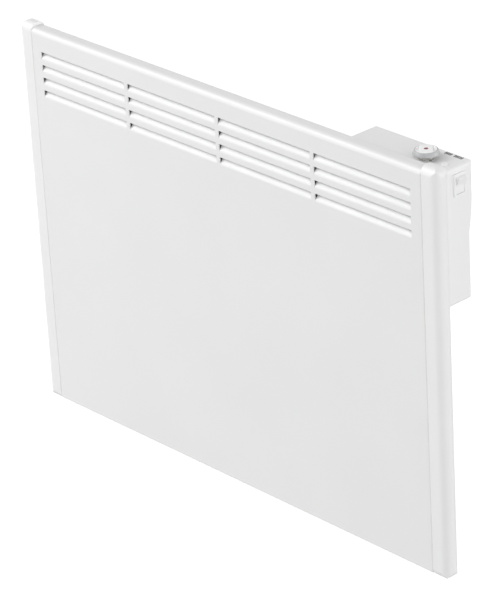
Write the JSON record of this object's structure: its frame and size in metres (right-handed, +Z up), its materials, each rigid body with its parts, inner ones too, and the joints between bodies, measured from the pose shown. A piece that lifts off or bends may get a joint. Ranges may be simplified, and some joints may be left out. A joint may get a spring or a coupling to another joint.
{
  "type": "wall panel convector heater",
  "caption": "Slim wall-hung panel convector with pressed louvres, rounded end trims, a rear control box with knob and rocker switch, and a wall bracket it tips on.",
  "frame": {"origin": "centre of the wall bracket's four-hole pattern, on the wall plane", "axes": "+Y into the wall, so the front faces -Y; +X to the right seen from the front; +Z up"},
  "size_m": [0.557, 0.066, 0.4047],
  "materials": {
    "panel_enamel": "white powder coat, satin",
    "trim_plastic": "white moulded plastic, satin",
    "casing_enamel": "white powder coat, satin",
    "bracket_enamel": "white powder coat",
    "galvanised_steel": "galvanised",
    "spring_steel": "bright spring steel",
    "zinc_screws": "zinc plated",
    "element_sheath": "heat-toned steel sheath",
    "fin_aluminium": "mill finish",
    "shield_aluminium": "bright",
    "housing_plastic": "white moulded plastic, fine texture",
    "knob_plastic": "white, semi-gloss",
    "red_print": "red inlay",
    "switch_plastic": "white, semi-gloss",
    "black_plastic": "black moulded plastic",
    "grey_plastic": "light grey moulded plastic",
    "clear_lens": "frosted clear lens",
    "brass_fittings": "bright brass",
    "copper_sensor": "drawn copper",
    "grey_rubber": "moulded rubber",
    "wire_brown": "insulation",
    "wire_blue": "insulation",
    "wire_green_yellow": "insulation",
    "wire_white": "heat-proof insulation"
  },
  "bodies": {
    "bracket": {"wall_bracket": "bracket_enamel", "latch_spring_left": "spring_steel", "latch_spring_right": "spring_steel", "latch_rivets": "zinc_screws", "wall_buffers": "grey_rubber"},
    "heater": {"front_panel": "panel_enamel", "end_trim_left": "trim_plastic", "end_trim_right": "trim_plastic", "trim_screws": "zinc_screws", "rear_casing": "casing_enamel", "casing_screws": "zinc_screws", "hinge_bracket_left": "galvanised_steel", "hinge_bracket_right": "galvanised_steel", "hinge_pins": "zinc_screws", "catch_left": "galvanised_steel", "catch_right": "galvanised_steel", "tray_rivets": "zinc_screws", "element_tube": "element_sheath", "element_terminals": "brass_fittings", "element_fins": "fin_aluminium", "element_hanger_left": "galvanised_steel", "element_hanger_right": "galvanised_steel", "element_screws": "zinc_screws", "heat_shield": "shield_aluminium", "overheat_cutout": "black_plastic", "control_housing": "housing_plastic", "housing_screws": "zinc_screws", "thermostat_body": "black_plastic", "bush_nut": "brass_fittings", "sensor_bulb": "copper_sensor", "sensor_capillary": "copper_sensor", "bulb_clip": "grey_plastic", "switch_body": "switch_plastic", "pilot_lens": "clear_lens", "pilot_lamp": "clear_lens", "terminal_block": "grey_plastic", "terminal_screws": "brass_fittings", "cord_gland": "housing_plastic", "cord_clamp": "grey_plastic", "clamp_screws": "zinc_screws", "earth_tag": "brass_fittings", "earth_screw": "brass_fittings", "wire_grommet": "grey_rubber", "wire_live": "wire_brown", "wire_switched": "wire_brown", "wire_thermostat": "wire_white", "wire_cutout": "wire_white", "wire_neutral": "wire_blue", "wire_earth": "wire_green_yellow"},
    "knob": {"thermostat_knob": "knob_plastic", "knob_dot": "red_print", "thermostat_spindle": "brass_fittings"},
    "rocker": {"switch_rocker": "switch_plastic"}
  },
  "joints": [
    {"name": "tilt", "type": "hinge", "parent": "bracket", "child": "heater", "pos_m": [0, -0.01, -0.146], "axis": [1, 0, 0], "range_deg": [0, 25], "deforming": ["latch_spring_left", "latch_spring_right"]},
    {"name": "thermostat_turn", "type": "hinge", "parent": "heater", "child": "knob", "pos_m": [0.2355, -0.0338, 0.2024], "axis": [0, 0, 1], "range_deg": [-150, 120]},
    {"name": "rocker_press", "type": "hinge", "parent": "heater", "child": "rocker", "pos_m": [0.2679, -0.0288, 0.1852], "axis": [0, 1, 0], "range_deg": [-24, 0]}
  ]
}
